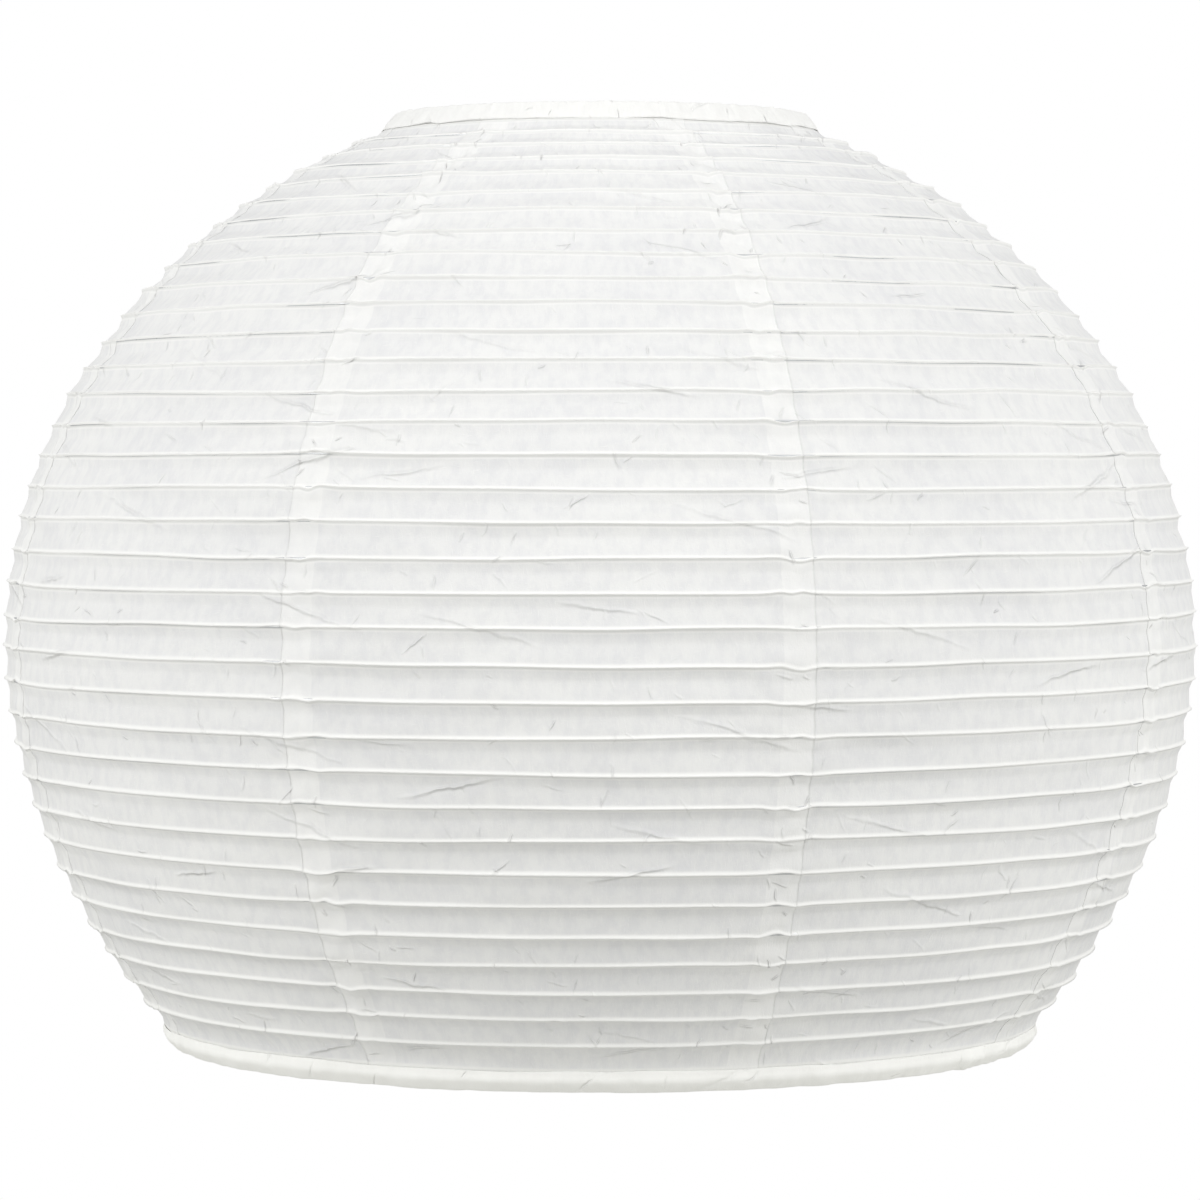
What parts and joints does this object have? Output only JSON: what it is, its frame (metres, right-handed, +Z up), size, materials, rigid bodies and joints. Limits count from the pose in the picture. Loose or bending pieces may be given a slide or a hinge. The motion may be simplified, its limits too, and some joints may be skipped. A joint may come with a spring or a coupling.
{
  "type": "paper lantern shade",
  "caption": "Pendant paper lantern shade of lapped rice-paper gores over level wire hoops, with a swivelling wire expander that carries the lamp holder.",
  "frame": {"origin": "centre of the lamp-holder bore at the top face of the socket ring, level with the top rim", "axes": "+Z up along the bore, +X and +Y along the expander's crossed legs, shade hanging below the origin, -Y towards the viewer"},
  "size_m": [0.5, 0.5, 0.3885],
  "materials": {
    "rice_paper": "matt, fibrous",
    "hem_paper": "matt, doubled",
    "rib_wire": "drawn wire",
    "rim_wire": "drawn wire",
    "painted_wire": "satin white"
  },
  "bodies": {
    "frame": {"socket_ring": "painted_wire", "fixed_leg_left": "painted_wire", "fixed_leg_right": "painted_wire", "top_rim_wire": "rim_wire", "top_hem": "hem_paper", "rib_01": "rib_wire", "gore_1": "rice_paper", "gore_2": "rice_paper", "gore_3": "rice_paper", "gore_4": "rice_paper", "gore_5": "rice_paper", "gore_6": "rice_paper", "gore_7": "rice_paper", "gore_8": "rice_paper"},
    "bottom_rim": {"bottom_rim_wire": "rim_wire", "bottom_hem": "hem_paper", "rib_35": "rib_wire"},
    "swivel": {"swivel_ring": "painted_wire", "swivel_leg_front": "painted_wire", "swivel_leg_back": "painted_wire"},
    "rib_02_level": {"rib_02": "rib_wire"},
    "rib_03_level": {"rib_03": "rib_wire"},
    "rib_04_level": {"rib_04": "rib_wire"},
    "rib_05_level": {"rib_05": "rib_wire"},
    "rib_06_level": {"rib_06": "rib_wire"},
    "rib_07_level": {"rib_07": "rib_wire"},
    "rib_08_level": {"rib_08": "rib_wire"},
    "rib_09_level": {"rib_09": "rib_wire"},
    "rib_10_level": {"rib_10": "rib_wire"},
    "rib_11_level": {"rib_11": "rib_wire"},
    "rib_12_level": {"rib_12": "rib_wire"},
    "rib_13_level": {"rib_13": "rib_wire"},
    "rib_14_level": {"rib_14": "rib_wire"},
    "rib_15_level": {"rib_15": "rib_wire"},
    "rib_16_level": {"rib_16": "rib_wire"},
    "rib_17_level": {"rib_17": "rib_wire"},
    "rib_18_level": {"rib_18": "rib_wire"},
    "rib_19_level": {"rib_19": "rib_wire"},
    "rib_20_level": {"rib_20": "rib_wire"},
    "rib_21_level": {"rib_21": "rib_wire"},
    "rib_22_level": {"rib_22": "rib_wire"},
    "rib_23_level": {"rib_23": "rib_wire"},
    "rib_24_level": {"rib_24": "rib_wire"},
    "rib_25_level": {"rib_25": "rib_wire"},
    "rib_26_level": {"rib_26": "rib_wire"},
    "rib_27_level": {"rib_27": "rib_wire"},
    "rib_28_level": {"rib_28": "rib_wire"},
    "rib_29_level": {"rib_29": "rib_wire"},
    "rib_30_level": {"rib_30": "rib_wire"},
    "rib_31_level": {"rib_31": "rib_wire"},
    "rib_32_level": {"rib_32": "rib_wire"},
    "rib_33_level": {"rib_33": "rib_wire"},
    "rib_34_level": {"rib_34": "rib_wire"}
  },
  "joints": [
    {"name": "collapse", "type": "slide", "parent": "frame", "child": "bottom_rim", "axis": [0, 0, 1], "range_m": [0, 0.32675], "deforming": ["gore_1", "gore_2", "gore_3", "gore_4", "gore_5", "gore_6", "gore_7", "gore_8"]},
    {"name": "expander_swivel", "type": "hinge", "parent": "frame", "child": "swivel", "pos_m": [0, 0, -0.007], "axis": [0, 0, 1], "range_deg": [-85, 0]},
    {"name": "rib_02_slide", "type": "slide", "parent": "frame", "child": "rib_02_level", "axis": [0, 0, 1], "range_m": [0, 0.00432]},
    {"name": "rib_03_slide", "type": "slide", "parent": "frame", "child": "rib_03_level", "axis": [0, 0, 1], "range_m": [0, 0.00921]},
    {"name": "rib_04_slide", "type": "slide", "parent": "frame", "child": "rib_04_level", "axis": [0, 0, 1], "range_m": [0, 0.01465]},
    {"name": "rib_05_slide", "type": "slide", "parent": "frame", "child": "rib_05_level", "axis": [0, 0, 1], "range_m": [0, 0.02064]},
    {"name": "rib_06_slide", "type": "slide", "parent": "frame", "child": "rib_06_level", "axis": [0, 0, 1], "range_m": [0, 0.02717]},
    {"name": "rib_07_slide", "type": "slide", "parent": "frame", "child": "rib_07_level", "axis": [0, 0, 1], "range_m": [0, 0.03422]},
    {"name": "rib_08_slide", "type": "slide", "parent": "frame", "child": "rib_08_level", "axis": [0, 0, 1], "range_m": [0, 0.04179]},
    {"name": "rib_09_slide", "type": "slide", "parent": "frame", "child": "rib_09_level", "axis": [0, 0, 1], "range_m": [0, 0.04985]},
    {"name": "rib_10_slide", "type": "slide", "parent": "frame", "child": "rib_10_level", "axis": [0, 0, 1], "range_m": [0, 0.05839]},
    {"name": "rib_11_slide", "type": "slide", "parent": "frame", "child": "rib_11_level", "axis": [0, 0, 1], "range_m": [0, 0.06739]},
    {"name": "rib_12_slide", "type": "slide", "parent": "frame", "child": "rib_12_level", "axis": [0, 0, 1], "range_m": [0, 0.07682]},
    {"name": "rib_13_slide", "type": "slide", "parent": "frame", "child": "rib_13_level", "axis": [0, 0, 1], "range_m": [0, 0.08666]},
    {"name": "rib_14_slide", "type": "slide", "parent": "frame", "child": "rib_14_level", "axis": [0, 0, 1], "range_m": [0, 0.09687]},
    {"name": "rib_15_slide", "type": "slide", "parent": "frame", "child": "rib_15_level", "axis": [0, 0, 1], "range_m": [0, 0.10743]},
    {"name": "rib_16_slide", "type": "slide", "parent": "frame", "child": "rib_16_level", "axis": [0, 0, 1], "range_m": [0, 0.11829]},
    {"name": "rib_17_slide", "type": "slide", "parent": "frame", "child": "rib_17_level", "axis": [0, 0, 1], "range_m": [0, 0.12943]},
    {"name": "rib_18_slide", "type": "slide", "parent": "frame", "child": "rib_18_level", "axis": [0, 0, 1], "range_m": [0, 0.1408]},
    {"name": "rib_19_slide", "type": "slide", "parent": "frame", "child": "rib_19_level", "axis": [0, 0, 1], "range_m": [0, 0.15235]},
    {"name": "rib_20_slide", "type": "slide", "parent": "frame", "child": "rib_20_level", "axis": [0, 0, 1], "range_m": [0, 0.16405]},
    {"name": "rib_21_slide", "type": "slide", "parent": "frame", "child": "rib_21_level", "axis": [0, 0, 1], "range_m": [0, 0.17584]},
    {"name": "rib_22_slide", "type": "slide", "parent": "frame", "child": "rib_22_level", "axis": [0, 0, 1], "range_m": [0, 0.18768]},
    {"name": "rib_23_slide", "type": "slide", "parent": "frame", "child": "rib_23_level", "axis": [0, 0, 1], "range_m": [0, 0.19948]},
    {"name": "rib_24_slide", "type": "slide", "parent": "frame", "child": "rib_24_level", "axis": [0, 0, 1], "range_m": [0, 0.21124]},
    {"name": "rib_25_slide", "type": "slide", "parent": "frame", "child": "rib_25_level", "axis": [0, 0, 1], "range_m": [0, 0.22288]},
    {"name": "rib_26_slide", "type": "slide", "parent": "frame", "child": "rib_26_level", "axis": [0, 0, 1], "range_m": [0, 0.23437]},
    {"name": "rib_27_slide", "type": "slide", "parent": "frame", "child": "rib_27_level", "axis": [0, 0, 1], "range_m": [0, 0.24569]},
    {"name": "rib_28_slide", "type": "slide", "parent": "frame", "child": "rib_28_level", "axis": [0, 0, 1], "range_m": [0, 0.25679]},
    {"name": "rib_29_slide", "type": "slide", "parent": "frame", "child": "rib_29_level", "axis": [0, 0, 1], "range_m": [0, 0.26766]},
    {"name": "rib_30_slide", "type": "slide", "parent": "frame", "child": "rib_30_level", "axis": [0, 0, 1], "range_m": [0, 0.27827]},
    {"name": "rib_31_slide", "type": "slide", "parent": "frame", "child": "rib_31_level", "axis": [0, 0, 1], "range_m": [0, 0.28861]},
    {"name": "rib_32_slide", "type": "slide", "parent": "frame", "child": "rib_32_level", "axis": [0, 0, 1], "range_m": [0, 0.29864]},
    {"name": "rib_33_slide", "type": "slide", "parent": "frame", "child": "rib_33_level", "axis": [0, 0, 1], "range_m": [0, 0.30836]},
    {"name": "rib_34_slide", "type": "slide", "parent": "frame", "child": "rib_34_level", "axis": [0, 0, 1], "range_m": [0, 0.31773]}
  ],
  "couplings": [
    {"joint": "rib_02_slide", "follows": "collapse", "ratio": 0.013221},
    {"joint": "rib_03_slide", "follows": "collapse", "ratio": 0.02817},
    {"joint": "rib_04_slide", "follows": "collapse", "ratio": 0.044825},
    {"joint": "rib_05_slide", "follows": "collapse", "ratio": 0.063158},
    {"joint": "rib_06_slide", "follows": "collapse", "ratio": 0.083139},
    {"joint": "rib_07_slide", "follows": "collapse", "ratio": 0.10473},
    {"joint": "rib_08_slide", "follows": "collapse", "ratio": 0.12789},
    {"joint": "rib_09_slide", "follows": "collapse", "ratio": 0.15257},
    {"joint": "rib_10_slide", "follows": "collapse", "ratio": 0.1787},
    {"joint": "rib_11_slide", "follows": "collapse", "ratio": 0.20624},
    {"joint": "rib_12_slide", "follows": "collapse", "ratio": 0.2351},
    {"joint": "rib_13_slide", "follows": "collapse", "ratio": 0.2652},
    {"joint": "rib_14_slide", "follows": "collapse", "ratio": 0.29646},
    {"joint": "rib_15_slide", "follows": "collapse", "ratio": 0.32877},
    {"joint": "rib_16_slide", "follows": "collapse", "ratio": 0.36202},
    {"joint": "rib_17_slide", "follows": "collapse", "ratio": 0.39611},
    {"joint": "rib_18_slide", "follows": "collapse", "ratio": 0.4309},
    {"joint": "rib_19_slide", "follows": "collapse", "ratio": 0.46626},
    {"joint": "rib_20_slide", "follows": "collapse", "ratio": 0.50205},
    {"joint": "rib_21_slide", "follows": "collapse", "ratio": 0.53814},
    {"joint": "rib_22_slide", "follows": "collapse", "ratio": 0.57437},
    {"joint": "rib_23_slide", "follows": "collapse", "ratio": 0.6105},
    {"joint": "rib_24_slide", "follows": "collapse", "ratio": 0.64647},
    {"joint": "rib_25_slide", "follows": "collapse", "ratio": 0.6821},
    {"joint": "rib_26_slide", "follows": "collapse", "ratio": 0.71727},
    {"joint": "rib_27_slide", "follows": "collapse", "ratio": 0.7519},
    {"joint": "rib_28_slide", "follows": "collapse", "ratio": 0.78589},
    {"joint": "rib_29_slide", "follows": "collapse", "ratio": 0.81916},
    {"joint": "rib_30_slide", "follows": "collapse", "ratio": 0.85164},
    {"joint": "rib_31_slide", "follows": "collapse", "ratio": 0.88327},
    {"joint": "rib_32_slide", "follows": "collapse", "ratio": 0.91398},
    {"joint": "rib_33_slide", "follows": "collapse", "ratio": 0.94371},
    {"joint": "rib_34_slide", "follows": "collapse", "ratio": 0.9724}
  ]
}
